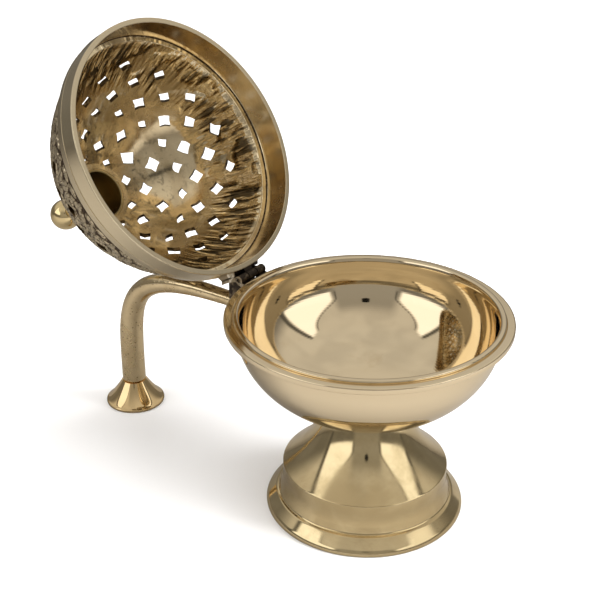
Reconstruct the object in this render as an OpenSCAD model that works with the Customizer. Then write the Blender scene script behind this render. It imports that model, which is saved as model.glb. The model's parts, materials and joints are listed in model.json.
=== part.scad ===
// A footed brass incense burner with a pierced, hinged dome and a curved handle
// that ends in a small flared foot. Millimetres, +Z up. The origin is the centre
// of the pedestal's foot ring on the table. The handle points along -X, and the
// hinge axis runs along Y. The lid is drawn open, leaning on its hinge stop.

/* [Bowl] */
// Outer radius of the bowl's flat rim
rim_r = 50; // [46:1:60]
// Height of the rim's upper face, on which the lid sits
rim_z = 76; // [70:1:92]
// Thickness of the flat rim
rim_t = 2.4; // [1.6:0.1:3.6]
// Width of the flat rim from its edge to the bowl's wall
rim_w = 3.8; // [3.4:0.1:5.5]
// Height of the raised lip inside the rim
lip_h = 1; // [0.6:0.1:2.5]
// Width of the raised lip
lip_w = 1.9; // [1.4:0.1:3]
// Wall thickness of the bowl
bowl_wall = 1.8; // [1.4:0.1:2.6]
// Depth of the bowl's outer curve below the rim
bowl_depth = 35; // [30:0.5:42]

/* [Pedestal] */
// Outer radius of the foot ring
foot_r = 36; // [32:1:44]
// Height of the foot ring's flared edge
foot_flare_h = 6; // [5:0.5:9]
// Radius above the flared edge
step_r = 31.6; // [29:0.5:36]
// Radius of the shoulder ridge
shoulder_r = 29.7; // [26:0.5:33]
// Height of the shoulder ridge
shoulder_z = 17; // [14:0.5:21]
// Radius of the joint under the bowl
neck_r = 14.5; // [12:0.5:17]
// Share of the cone's spread that is straight; the rest curves it inwards
cone_straight = 0.4; // [0.2:0.05:1]
// Wall thickness of the pedestal
pedestal_wall = 2.2; // [1.6:0.1:3.5]
// Diameter of the threaded stud that joins bowl and pedestal
stud_d = 6; // [4:0.5:7]

/* [Handle] */
// Distance from the bowl's axis to the middle of the handle's leg
leg_x = 116.3; // [100:1:140]
// How far below the rim's upper face the handle's centreline leaves the bowl
handle_drop = 12.6; // [10:0.2:16]
// Diameter of the handle at the bowl
handle_root_d = 5.2; // [4.4:0.2:7]
// Diameter of the handle's leg
handle_leg_d = 9.6; // [8:0.2:12]
// Squareness of the handle's bend
bend_power = 4.5; // [3.2:0.1:6]
// Radius of the flared foot under the leg
ferrule_r = 12; // [9:0.5:15]
// Height of the flared foot
ferrule_h = 10; // [8:0.5:14]

/* [Lid] */
// Height of the plain band round the lid's edge
band_h = 6; // [4:0.5:8]
// Height of the second plain band
band2_h = 3; // [2:0.5:5]
// Depth of the turned grooves beside the bands
groove = 0.5; // [0.3:0.1:0.8]
// Wall thickness of the pierced dome
lid_wall = 2; // [1.6:0.1:3]
// Radius of the arc that the dome's outside follows
ogive_r = 67.6; // [60:0.5:80]
// Height above the lid's edge where the arc turns into a cone
cone_h = 44; // [38:0.5:48]
// Outer radius of the seat for the finial
seat_r = 13.6; // [11:0.2:16]
// Number of piercings in each of the four outer rings
pierce_count = 16; // [8:2:20]
// Diagonal of a full-size piercing
pierce_d = 5.8; // [3:0.1:6.6]
// Radius of the ball knob
ball_r = 6.3; // [4:0.1:9]
// Height of the ball's centre above the finial's seat
ball_rise = 24.5; // [21:0.5:32]

/* [Hinge] */
// Width of the hinge across all three knuckles
hinge_w = 14; // [10:0.5:18]
// Outer radius of a knuckle
knuckle_r = 1.7; // [1.5:0.1:2.4]
// Diameter of the hinge pin
pin_d = 1.6; // [1:0.1:2]
// Angle through which the lid swings open
lid_open = 122.9; // [100:0.1:130]

/* [Clearances] */
// Gap between the closed lid and the rim
seat_gap = 0.1; // [0.05:0.05:0.3]
// Radial gap between the hinge pin and the knuckles
pin_gap = 0.05; // [0.03:0.01:0.1]
// Gap between neighbouring knuckles
knuckle_gap = 0.3; // [0.2:0.05:0.6]
// Radial gap round studs, tenons and spigots
fit_gap = 0.1; // [0.05:0.05:0.2]

/* [Hidden] */
$fn = 96;
eps = 0.01;

// Bowl
wall_r = rim_r - rim_w;                  // outer wall under the rim
wall_z = rim_z - rim_t;                  // underside of the rim
bowl_base_z = wall_z - bowl_depth;       // lowest point of the outer curve
inner_r = wall_r - bowl_wall;
inner_depth = bowl_depth - bowl_wall;
neck_z = bowl_base_z - 1;                // joint between bowl and pedestal
neck_fillet = 1.2;
lip_out = wall_r + 0.7;
lip_in = lip_out - lip_w;
edge = 0.6;                              // broken edges of turned work

// Pedestal
stud_r = stud_d / 2;
ceiling_z = neck_z - 2 * pedestal_wall;  // flat inside, where the nut bears
cone_wall = 1.5 * pedestal_wall;         // the cone's wall, measured level
cone_steps = 12;
washer_r = stud_r + 4;
washer_t = 1.2;
nut_af = stud_d * 1.7;
nut_t = stud_d * 0.8;
stud_low = ceiling_z - washer_t - nut_t - 2;
stud_high = bowl_base_z + bowl_wall - 0.4;

// Handle
handle_z = rim_z - handle_drop;
root_inset = 8;                          // the bar starts this far inside the bowl's wall
bar_half = [leg_x - wall_r + root_inset, handle_z - ferrule_h]; // half-axes of its curve
spigot_r = 0.32 * handle_leg_d;
spigot_h = 6;
tenon_r = 0.3 * handle_root_d;
bend_steps = 14;
bar_sides = 24;

// Lid, in heights above its own edge
lid_z = rim_z + seat_gap;
lid_r = rim_r - edge;                    // outer radius of the plain band
lid_in = lip_out + 0.4;                  // clears the bowl's lip
field_h = band_h + band2_h + 2 * groove; // the pierced field starts here
ogive_c = [lid_r - ogive_r - 0.5, -4.8]; // centre of the dome's arc
inner_band_h = 11;
cone_a = asin((cone_h - ogive_c[1]) / ogive_r);
cone_start = ogive_c + ogive_r * [cos(cone_a), sin(cone_a)];
seat_h = cone_h + (cone_start[0] - seat_r) / tan(cone_a);
seat_t = 1.8;
seat_w = 3.2;
cup_hole_r = seat_r - seat_w;            // hole at the top of the dome, for the cup's spigot
cup_wall = 1.2;
cup_h = 11;                              // top of the finial cup above its seat
cup_ceiling = 9;
tail_r = 2;                              // the knob's tail, held by a nut inside the cup
tail_nut_r = 4;
tail_nut_t = 2.2;
knob_stem_r = 2.9;

// Hinge
pin_r = pin_d / 2;
hinge_x = rim_r + knuckle_r + 0.5;
hinge_z = rim_z + 0.4;
hinge_flat = sqrt(rim_r * rim_r - hinge_w * hinge_w / 4) - 0.1; // filed flat on the rim
lid_flat = sqrt(lid_r * lid_r - hinge_w * hinge_w / 4) - 0.1;   // filed flat on the lid
knuckle_w = (hinge_w - 2 * knuckle_gap) / 3;
strap_t = 1.4;
strap_h = band_h + band2_h;
saddle_z = handle_z + handle_root_d / 2 - 0.7;                  // flat on the handle's top
ledge_t = 2.4;
bracket_w = 6;
pin_inset = 0.5;                         // the pin stops short of the knuckles' ends

// Piercings: height above the edge, count share, turn in pitches, diagonal share,
// and how far the upper corner stands from the centre as a share of the lower one
RINGS = [[24, 1, 0, 0.95, 0.9], [30, 1, 0.5, 1, 1], [36, 1, 0, 1.05, 1],
         [41, 1, 0.5, 0.82, 0.7], [46.5, 0.5, 0, 0.92, 1.25], [51, 0.5, 0.5, 1, 0.9],
         [55.2, 0.5, 0, 0.75, 0.8]];
pierce_turn = 5.6;                       // turn of the whole pattern from the hinge

// Points along an arc or ellipse round c, from angle a to angle b
function curve(c, rx, rz, a, b, n) =
    [for (i = [0 : n]) c + [rx * cos(a + (b - a) * i / n), rz * sin(a + (b - a) * i / n)]];

// Radius of the dome's wall at height h, thick millimetres inside its outer face
function dome_at(h, thick = 0) =
    h < cone_h
        ? ogive_c[0] + sqrt(pow(ogive_r - thick, 2) - pow(h - ogive_c[1], 2))
        : cone_start[0] - thick / cos(cone_a) - (h - cone_h) * tan(cone_a);

// Angle of the dome's outward normal above the horizontal at height h
function dome_tilt(h) = asin((min(h, cone_h) - ogive_c[1]) / ogive_r);

// Parts of the lid are drawn closed, then swung open about the hinge
module opened() {
    translate([-hinge_x, 0, hinge_z])
        rotate([0, -lid_open, 0])
            translate([hinge_x, 0, -hinge_z])
                children();
}

// A solid of revolution from [radius, height] points
module turned(points) {
    rotate_extrude()
        polygon(points);
}

// Everything on the handle's side of x = -flat, as a block to file a flat with
module filed(flat, low, high) {
    translate([-flat - 10, -hinge_w, low])
        cube([10, 2 * hinge_w, high - low]);
}

// ---- Bowl ----
function bowl_outside() = concat(
    [[0, neck_z], [neck_r, neck_z]],
    curve([neck_r + neck_fillet, neck_z + 0.4], neck_fillet, 2.2, 180, 120, 4),
    curve([0, wall_z], wall_r, bowl_depth, -acos((neck_r + neck_fillet) / wall_r), 0, 18));

function bowl_rim() = concat(
    [[rim_r - edge, wall_z], [rim_r, wall_z + edge], [rim_r, rim_z - edge],
     [rim_r - edge, rim_z], [lip_out, rim_z]],
    curve([(lip_out + lip_in) / 2, rim_z + lip_h - edge], lip_w / 2, edge, 0, 180, 6),
    [[lip_in, rim_z - 0.4]]);

function bowl_inside() =
    [for (a = [0 : -4.5 : -90]) [inner_r * cos(a), wall_z + inner_depth * sin(a)]];

module bowl() {
    color("goldenrod")
        difference() {
            turned(concat(bowl_outside(), bowl_rim(), bowl_inside()));
            filed(hinge_flat, wall_z - 1, rim_z + 1);
            translate([0, 0, neck_z - 1])
                cylinder(r = stud_r + fit_gap, h = stud_high - neck_z + 1.2);
            translate([-wall_r, 0, handle_z])
                rotate([0, 90, 0])
                    cylinder(r = tenon_r + fit_gap, h = bowl_wall + 8);
        }
}

// ---- Pedestal ----
// A point of the cone's outside: share is 0 at the joint and 1 at the shoulder ridge
function cone_point(share) =
    [neck_r + (shoulder_r - neck_r) * share * (cone_straight + (1 - cone_straight) * share),
     neck_z - (neck_z - shoulder_z) * share];

function pedestal_outside() = concat(
    [[foot_r - edge, 0], [foot_r, edge], [foot_r, 0.42 * foot_flare_h]],
    curve([foot_r, foot_flare_h], foot_r - step_r, 0.58 * foot_flare_h, 270, 180, 6),
    [for (i = [0 : 6]) [step_r - 0.4 - (step_r - 0.4 - shoulder_r) * i / 6
                        - 0.5 * sin(180 * i / 6),
                        foot_flare_h + 0.4 + (shoulder_z - foot_flare_h - 0.4) * i / 6]],
    [for (i = [cone_steps - 1 : -1 : 0]) cone_point(i / cone_steps)]);

function pedestal_inside() = concat(
    [[stud_r + fit_gap, neck_z], [stud_r + fit_gap, ceiling_z], [washer_r + 2, ceiling_z]],
    [for (i = [3 : cone_steps - 1]) cone_point(i / cone_steps) - [cone_wall, 0]],
    [[shoulder_r - pedestal_wall - 0.5, shoulder_z - 1],
     [step_r - pedestal_wall, foot_flare_h], [foot_r - pedestal_wall - 1, 0]]);

module pedestal() {
    color("goldenrod")
        turned(concat(pedestal_outside(), pedestal_inside()));
}

module pedestal_stud() {
    color("darkgoldenrod")
        translate([0, 0, stud_low])
            cylinder(r = stud_r, h = stud_high - stud_low);
}

module pedestal_washer() {
    color("darkgoldenrod")
        translate([0, 0, ceiling_z - washer_t])
            difference() {
                cylinder(r = washer_r, h = washer_t);
                translate([0, 0, -1])
                    cylinder(r = stud_r + fit_gap, h = washer_t + 2);
            }
}

module pedestal_nut() {
    color("darkgoldenrod")
        translate([0, 0, ceiling_z - washer_t - nut_t])
            difference() {
                cylinder(r = nut_af / 2 / cos(30), h = nut_t, $fn = 6);
                translate([0, 0, -1])
                    cylinder(r = stud_r + fit_gap, h = nut_t + 2);
            }
}

// ---- Handle ----
// The bar's centreline is one quarter of a superellipse: share is 0 at the bowl
// and 1 at the foot of the leg
turn_share = pow(0.5, 1 / bend_power);
function bar_point(share) =
    let (level = share < 0.5 ? share * 2 * turn_share : undef,
         rise = share < 0.5 ? undef : (1 - share) * 2 * turn_share,
         u = share < 0.5 ? level : pow(1 - pow(rise, bend_power), 1 / bend_power),
         w = share < 0.5 ? pow(1 - pow(level, bend_power), 1 / bend_power) : rise)
    [-leg_x + bar_half[0] * (1 - u), 0, ferrule_h + bar_half[1] * w];

function bar_radius(share) =
    let (t = min(1, share / 0.8))
    handle_root_d / 2 + (handle_leg_d - handle_root_d) / 2 * t * t * (3 - 2 * t);

function bar_ring(share) =
    let (p = bar_point(share),
         ahead = bar_point(min(1, share + eps)) - bar_point(max(0, share - eps)),
         along = share > 1 - eps ? [0, 0, -1] : ahead / norm(ahead),
         out = [along[2], 0, -along[0]])
    [for (k = [0 : bar_sides - 1])
        let (a = 360 * k / bar_sides)
        p + bar_radius(share) * (cos(a) * out + sin(a) * [0, 1, 0])];

module handle_bar() {
    rings = [for (i = [0 : 2 * bend_steps]) bar_ring(i / (2 * bend_steps))];
    last = 2 * bend_steps;
    points = [for (ring = rings) each ring];
    sides = [for (i = [0 : last - 1]) for (k = [0 : bar_sides - 1])
        let (n = (k + 1) % bar_sides)
        [i * bar_sides + n, i * bar_sides + k, (i + 1) * bar_sides + k, (i + 1) * bar_sides + n]];
    ends = [[for (k = [0 : bar_sides - 1]) k],
            [for (k = [bar_sides - 1 : -1 : 0]) last * bar_sides + k]];
    polyhedron(points, concat(sides, ends));
}

// The bowl's outer body as one solid, to shape the handle's root against
module bowl_body(grow) {
    turned([for (a = [-90 : 6 : 0]) [(wall_r + grow) * cos(a), wall_z + (bowl_depth + grow) * sin(a)]]);
}

module handle() {
    color("goldenrod") {
        difference() {
            handle_bar();
            translate([0, 0, eps])
                bowl_body(0.05);
            translate([-hinge_x - 9, -handle_root_d, saddle_z])
                cube([hinge_x, 2 * handle_root_d, handle_root_d]);
        }
        translate([-leg_x, 0, ferrule_h - spigot_h])
            cylinder(r = spigot_r, h = spigot_h + 0.5);
    }
}

module handle_ferrule() {
    top_r = handle_leg_d / 2 + 0.2;
    color("goldenrod")
        translate([-leg_x, 0, 0])
            difference() {
                turned(concat(
                    [[0, 0], [ferrule_r - edge, 0], [ferrule_r, edge]],
                    [for (i = [0 : 8]) [ferrule_r - 0.2 - (ferrule_r - 0.2 - top_r) * pow(i / 8, 0.8),
                                        edge + 0.6 + (ferrule_h - edge - 0.6) * i / 8]],
                    [[0, ferrule_h]]));
                translate([0, 0, ferrule_h - spigot_h - fit_gap])
                    cylinder(r = spigot_r + fit_gap, h = spigot_h + 1);
                translate([0, 0, -1])
                    cylinder(r = 0.6 * ferrule_r, h = 2);
            }
}

// ---- Hinge ----
// Draws children as a plate in the XZ plane, width wide and centred on y
module plate(y, width) {
    translate([0, y + width / 2, 0])
        rotate([90, 0, 0])
            linear_extrude(height = width)
                children();
}

module knuckle_bore() {
    translate([-hinge_x, hinge_w / 2 + 1, hinge_z])
        rotate([90, 0, 0])
            cylinder(r = pin_r + pin_gap, h = hinge_w + 2);
}

module hinge_bracket() {
    slope = [-sin(lid_open), cos(lid_open)];               // along the open strap
    lift = (hinge_x - lid_flat - strap_t) * [cos(lid_open), sin(lid_open)];
    ledge_in = [-hinge_x, hinge_z] + lift + 3.2 * slope;   // the strap leans on this
    ledge_out = [-hinge_x, hinge_z] + lift + (strap_h - 1) * slope;
    floor_z = hinge_z - knuckle_r - 0.8;
    outer_y = (hinge_w - knuckle_w) / 2;
    color("dimgray")
        difference() {
            union() {
                for (y = [-outer_y, outer_y])
                    plate(y, knuckle_w) {
                        translate([-hinge_x, hinge_z])
                            circle(r = knuckle_r);
                        polygon([[-hinge_flat, hinge_z], [-hinge_x, hinge_z],
                                 [-hinge_x - knuckle_r + 0.1, hinge_z],
                                 ledge_in, ledge_out, [ledge_out[0], ledge_out[1] - ledge_t],
                                 [-hinge_x - knuckle_r, floor_z - 1],
                                 [-hinge_flat, floor_z - 1]]);
                    }
                plate(0, bracket_w)
                    polygon([[-hinge_flat, saddle_z], [-hinge_flat, floor_z],
                             [-hinge_x - knuckle_r, floor_z],
                             [ledge_out[0], ledge_out[1] - 1], [ledge_out[0], saddle_z]]);
            }
            knuckle_bore();
        }
}

module hinge_strap() {
    color("dimgray")
        opened()
            difference() {
                union() {
                    plate(0, knuckle_w)
                        translate([-hinge_x, hinge_z])
                            circle(r = knuckle_r);
                    plate(0, knuckle_w)
                        polygon([[-hinge_x, hinge_z], [-hinge_x - knuckle_r, hinge_z],
                                 [-lid_flat - strap_t, lid_z + 3.4], [-lid_flat, lid_z + 3.4],
                                 [-lid_flat, lid_z + 0.2], [-hinge_x + knuckle_r, lid_z + 0.2]]);
                    plate(0, hinge_w)
                        polygon([[-lid_flat, lid_z + 0.6], [-lid_flat - strap_t, lid_z + 1.4],
                                 [-lid_flat - strap_t, lid_z + strap_h - 0.8],
                                 [-lid_flat, lid_z + strap_h]]);
                }
                knuckle_bore();
            }
}

module hinge_pin() {
    color("gold")
        translate([-hinge_x, hinge_w / 2 - pin_inset, hinge_z])
            rotate([90, 0, 0])
                cylinder(r = pin_r, h = hinge_w - 2 * pin_inset);
}

// ---- Lid ----
function lid_outside() = concat(
    [[lid_in, 0], [lid_r - 0.3, 0], [lid_r, 0.3], [lid_r, band_h],
     [lid_r - groove, band_h], [lid_r - groove, band_h + groove],
     [lid_r - 0.2, band_h + groove], [lid_r - 0.6, band_h + groove + band2_h],
     [dome_at(field_h) - 0.3, field_h - groove], [dome_at(field_h), field_h]],
    [for (i = [1 : 10]) let (h = field_h + (cone_h - field_h) * i / 10) [dome_at(h), h]],
    [[seat_r, seat_h], [cup_hole_r, seat_h]]);

function lid_inside() = concat(
    [[cup_hole_r, seat_h - seat_t], [seat_r - 0.2, seat_h - seat_t]],
    [for (i = [10 : -1 : 1])
        let (h = inner_band_h + (cone_h - inner_band_h) * i / 10)
        [dome_at(h, lid_wall), h]],
    [[dome_at(inner_band_h, lid_wall), inner_band_h + 0.4], [lid_in - 0.4, inner_band_h]]);

// One piercing: a kite cut square through the wall at height h and angle turn
module piercing(h, turn, size, upper) {
    rotate([0, 0, 180 - turn])
        translate([dome_at(h, lid_wall), 0, lid_z + h])
            rotate([0, 90 - dome_tilt(h), 0])
                linear_extrude(height = 3.2 * lid_wall, center = true)
                    polygon([for (k = [0 : 7])
                        let (reach = (k % 2 == 1) ? 0.34 : k == 4 ? 0.5 * upper : 0.5)
                        size * reach * [cos(45 * k), sin(45 * k)]]);
}

module lid_dome() {
    color("khaki")
        opened()
            difference() {
                translate([0, 0, lid_z])
                    turned(concat(lid_outside(), lid_inside()));
                filed(lid_flat, lid_z - 1, lid_z + strap_h + 0.2);
                for (ring = RINGS) {
                    count = pierce_count * ring[1];
                    for (i = [0 : count - 1])
                        piercing(ring[0], pierce_turn + 360 * (i + ring[2]) / count,
                                 pierce_d * ring[3], ring[4]);
                }
            }
}

module finial_cup() {
    color("goldenrod")
        opened()
            translate([0, 0, lid_z + seat_h])
                turned(concat(
                    [[cup_hole_r - fit_gap, -seat_t], [cup_hole_r - fit_gap, 0], [seat_r, 0],
                     [seat_r + 0.2, 0.5], [seat_r, 1.4], [seat_r - 1.4, 1.8]],
                    curve([3.6, 1.8], seat_r - 5.4, cup_h - 2, 8, 82, 7),
                    [[knob_stem_r + 1.5, cup_h], [tail_r + fit_gap, cup_h],
                     [tail_r + fit_gap, cup_ceiling], [tail_nut_r + 0.6, cup_ceiling]],
                    curve([tail_nut_r + 0.6, 0.5],
                          cup_hole_r - cup_wall - tail_nut_r - 0.6, cup_ceiling - 0.5, 72, 5, 6),
                    [[cup_hole_r - cup_wall, -seat_t]]));
}

module knob() {
    stem_top = ball_rise - ball_r + 1.2;
    color("gold")
        opened()
            translate([0, 0, lid_z + seat_h]) {
                turned([[0, cup_h], [knob_stem_r + 1.5, cup_h], [knob_stem_r + 1.5, cup_h + 1],
                        [knob_stem_r + 0.5, cup_h + 1.6], [knob_stem_r, cup_h + 3],
                        [knob_stem_r, stem_top], [0, stem_top]]);
                translate([0, 0, ball_rise])
                    sphere(r = ball_r);
                translate([0, 0, cup_ceiling - tail_nut_t - 1])
                    cylinder(r = tail_r, h = cup_h - cup_ceiling + tail_nut_t + 2);
            }
}

module knob_nut() {
    color("darkgoldenrod")
        opened()
            translate([0, 0, lid_z + seat_h + cup_ceiling - tail_nut_t])
                difference() {
                    cylinder(r = tail_nut_r, h = tail_nut_t, $fn = 6);
                    translate([0, 0, -1])
                        cylinder(r = tail_r + fit_gap, h = tail_nut_t + 2);
                }
}

bowl();
pedestal();
pedestal_stud();
pedestal_washer();
pedestal_nut();
handle();
handle_ferrule();
hinge_bracket();
hinge_strap();
hinge_pin();
lid_dome();
finial_cup();
knob();
knob_nut();
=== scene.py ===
"""A footed brass incense burner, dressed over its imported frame.

The frame holds every piece at its real size and place, with the lid open on its hinge.
This file replaces the turned and cast pieces with finer surfaces, gives each piece its
finish, and sets up a plain studio. Sizes are in millimetres until a mesh is written.
"""

import json
import logging
import math
from collections.abc import Callable
from dataclasses import dataclass, field
from enum import Enum
from functools import reduce

import bmesh
import bpy
import numpy as np
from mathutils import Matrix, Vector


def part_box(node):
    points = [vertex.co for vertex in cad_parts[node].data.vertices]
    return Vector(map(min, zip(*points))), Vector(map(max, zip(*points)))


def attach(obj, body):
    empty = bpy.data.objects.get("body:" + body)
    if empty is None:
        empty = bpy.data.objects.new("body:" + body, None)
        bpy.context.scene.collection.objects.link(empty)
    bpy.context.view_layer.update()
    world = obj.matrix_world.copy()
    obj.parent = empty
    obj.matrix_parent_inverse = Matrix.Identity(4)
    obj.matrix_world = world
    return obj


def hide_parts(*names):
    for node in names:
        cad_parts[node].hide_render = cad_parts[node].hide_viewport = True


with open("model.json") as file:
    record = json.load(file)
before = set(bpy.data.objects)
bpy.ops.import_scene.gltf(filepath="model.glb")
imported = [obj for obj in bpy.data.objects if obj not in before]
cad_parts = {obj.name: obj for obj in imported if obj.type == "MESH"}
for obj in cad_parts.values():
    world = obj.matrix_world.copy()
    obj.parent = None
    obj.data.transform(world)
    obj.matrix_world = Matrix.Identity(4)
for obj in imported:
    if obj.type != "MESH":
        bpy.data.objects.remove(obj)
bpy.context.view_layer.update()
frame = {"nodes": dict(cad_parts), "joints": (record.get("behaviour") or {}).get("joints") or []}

log = logging.getLogger("incense_burner")
MM = 0.001  # metres in a millimetre
SEED = 7
WELD = 1e-7  # metres
CREASE = 30.0  # degrees
NO_FACES = np.zeros((0, 4), int)


class Body(Enum):
    """The rigid bodies that pieces ride on."""

    BASE = "base"
    LID = "lid"


class Slot(Enum):
    """The record's material slots."""

    POLISHED = "polished_brass"
    SATIN = "satin_brass"
    ENGRAVED = "engraved_brass"
    AGED = "aged_brass"
    FASTENER = "fastener_brass"


# ---------------------------------------------------------------- outlines and surfaces


def corner(r: float, z: float, fillet: float = 0.0) -> np.ndarray:
    """One point of an outline.

    Args:
        r: Distance from the axis, in millimetres.
        z: Height along the axis.
        fillet: How far back from the point its rounding starts; 0 keeps it sharp.

    Returns:
        A 1 by 3 array of r, z and fillet.
    """
    return np.array([[r, z, fillet]])


def arc(centre: tuple, radii: tuple, start: float, end: float, steps: int) -> np.ndarray:
    """A stretch of an ellipse, as outline points with no fillet.

    Args:
        centre: Its centre as r and z.
        radii: Its half-axes along r and z.
        start: First angle in degrees, 0 pointing away from the axis.
        end: Last angle in degrees.
        steps: Number of equal steps.

    Returns:
        An array of steps + 1 outline points.
    """
    a = np.radians(np.linspace(start, end, steps + 1))
    return np.column_stack([centre[0] + radii[0] * np.cos(a),
                            centre[1] + radii[1] * np.sin(a), np.zeros_like(a)])


def outline(*stretches: np.ndarray, spacing: float = 1.5, steps: int = 5,
            hold: float = 0.15) -> np.ndarray:
    """Joins stretches into a closed outline, rounds its corners and divides its long sides.

    A corner becomes a parabola that touches both of its sides. A side longer than three
    times the hold distance gets a point just inside each end, so that smooth shading stays flat.

    Args:
        stretches: Arrays of r, z and fillet.
        spacing: Longest side left undivided.
        steps: Segments in each rounded corner.
        hold: How far inside each end of a long side its extra point lies.

    Returns:
        An array of r and z.
    """
    raw = np.vstack(stretches)
    before, after = np.roll(raw, 1, axis=0), np.roll(raw, -1, axis=0)
    points = []
    for p, q, n in zip(raw, before, after):
        if p[2] <= 0:
            points.append(p[None, :2])
            continue
        back, ahead = q[:2] - p[:2], n[:2] - p[:2]
        room = 0.45 * min(np.linalg.norm(back), np.linalg.norm(ahead))
        cut = min(p[2], room)
        a = p[:2] + back / np.linalg.norm(back) * cut
        b = p[:2] + ahead / np.linalg.norm(ahead) * cut
        t = np.linspace(0, 1, steps + 1)[:, None]
        points.append((1 - t) ** 2 * a + 2 * t * (1 - t) * p[:2] + t ** 2 * b)
    rounded = np.vstack(points)
    out = []
    for p, q in zip(rounded, np.roll(rounded, -1, axis=0)):
        length = np.linalg.norm(q - p)
        if length < 1e-6:
            continue
        stops = [0.0]
        if length > 3 * hold:
            count = max(1, math.ceil((length - 2 * hold) / spacing))
            stops += list(np.linspace(hold, length - hold, count + 1) / length)
        out.append(p + (q - p) * np.array(stops)[:, None])
    return np.vstack(out)


@dataclass
class Surface:
    """Vertices in millimetres and four-sided faces."""

    points: np.ndarray
    faces: np.ndarray

    def moved(self, x: float = 0.0, y: float = 0.0, z: float = 0.0) -> "Surface":
        """The same surface, shifted."""
        return Surface(self.points + np.array([x, y, z]), self.faces)


def grid(points: np.ndarray, wrap_rows: bool, wrap_columns: bool) -> Surface:
    """Turns a rows by columns array of points into four-sided faces.

    Args:
        points: Array of shape rows, columns, 3.
        wrap_rows: Whether the last row joins the first.
        wrap_columns: Whether the last column joins the first.

    Returns:
        The surface.
    """
    rows, columns = points.shape[:2]
    i = np.arange(rows if wrap_rows else rows - 1)[:, None]
    j = np.arange(columns if wrap_columns else columns - 1)[None, :]
    i2, j2 = (i + 1) % rows, (j + 1) % columns
    faces = np.stack([i * columns + j, i * columns + j2, i2 * columns + j2, i2 * columns + j], -1)
    return Surface(points.reshape(-1, 3), faces.reshape(-1, 4))


def turned(profile: np.ndarray, segments: int = 192) -> Surface:
    """Carries a closed outline round the Z axis: x = r cos t, y = r sin t, z = z.

    Args:
        profile: Closed outline of r and z.
        segments: Number of columns.

    Returns:
        The surface of revolution.
    """
    t = np.linspace(0, 2 * np.pi, segments, endpoint=False)
    r, z = profile[:, :1], profile[:, 1:2]
    points = np.stack([r * np.cos(t), r * np.sin(t), np.broadcast_to(z, (len(r), segments))], -1)
    return grid(points, True, True)


def swept(centre: np.ndarray, radius: np.ndarray, sides: int = 64) -> Surface:
    """Carries a circle along a line in the XZ plane.

    A ring's point is centre + radius (cos a out + sin a Y), where out is square to the
    line in the XZ plane. Both ends close to a point.

    Args:
        centre: Array of x and z along the line.
        radius: The circle's radius at each point.
        sides: Points in each ring.

    Returns:
        The closed tube.
    """
    along = np.gradient(centre, axis=0)
    along /= np.linalg.norm(along, axis=1)[:, None]
    centre = np.vstack([centre[:1], centre, centre[-1:]])
    along = np.vstack([along[:1], along, along[-1:]])
    radius = np.concatenate([[0.0], radius, [0.0]])[:, None]
    a = np.linspace(0, 2 * np.pi, sides, endpoint=False)
    x = centre[:, :1] + radius * np.cos(a) * along[:, 1:2]
    z = centre[:, 1:2] - radius * np.cos(a) * along[:, :1]
    y = radius * np.sin(a)
    return grid(np.stack([x, np.broadcast_to(y, x.shape), z], -1), False, True)


def new_mesh(name: str, points: np.ndarray, faces: list, *steps: Callable) -> bpy.types.Mesh:
    """Makes a mesh from millimetres, runs bmesh steps on it and turns its faces outwards.

    Args:
        name: The mesh's name.
        points: Its vertices in millimetres.
        faces: Lists of vertex numbers.
        *steps: Functions that each change the bmesh they are given.

    Returns:
        The mesh, in metres.
    """
    mesh = bpy.data.meshes.new(name)
    mesh.from_pydata((points * MM).tolist(), [], faces)
    build = bmesh.new()
    build.from_mesh(mesh)
    for step in steps:
        step(build)
    bmesh.ops.recalc_face_normals(build, faces=build.faces)
    build.to_mesh(mesh)
    build.free()
    return mesh


def rows_of(items: bpy.types.bpy_prop_collection, key: str) -> np.ndarray:
    """A three-number property of every vertex or face, one row each."""
    flat = np.empty(len(items) * 3)
    items.foreach_get(key, flat)
    return flat.reshape(-1, 3)


def write_mesh(name: str, surface: Surface, sharp: float = 40.0) -> bpy.types.Object:
    """Makes a Blender object of a closed surface, in metres, with its faces outwards.

    Args:
        name: The piece's name.
        surface: Its surface in millimetres.
        sharp: Angle in degrees above which an edge shades as a crease.

    Returns:
        The linked object, at the origin.
    """
    def weld(build: bmesh.types.BMesh) -> None:
        """Merges the points that meet at a pole."""
        bmesh.ops.remove_doubles(build, verts=build.verts, dist=WELD)

    return link(name, new_mesh(name, surface.points, surface.faces.tolist(), weld), sharp)


def link(name: str, mesh: bpy.types.Mesh, sharp: float) -> bpy.types.Object:
    """Links a mesh into the scene with smooth shading, creased above the sharp angle."""
    mesh.polygons.foreach_set("use_smooth", np.ones(len(mesh.polygons), dtype=bool))
    mesh.set_sharp_from_angle(angle=math.radians(sharp))
    mesh.update()
    piece = bpy.data.objects.new(name, mesh)
    bpy.context.scene.collection.objects.link(piece)
    return piece


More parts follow.
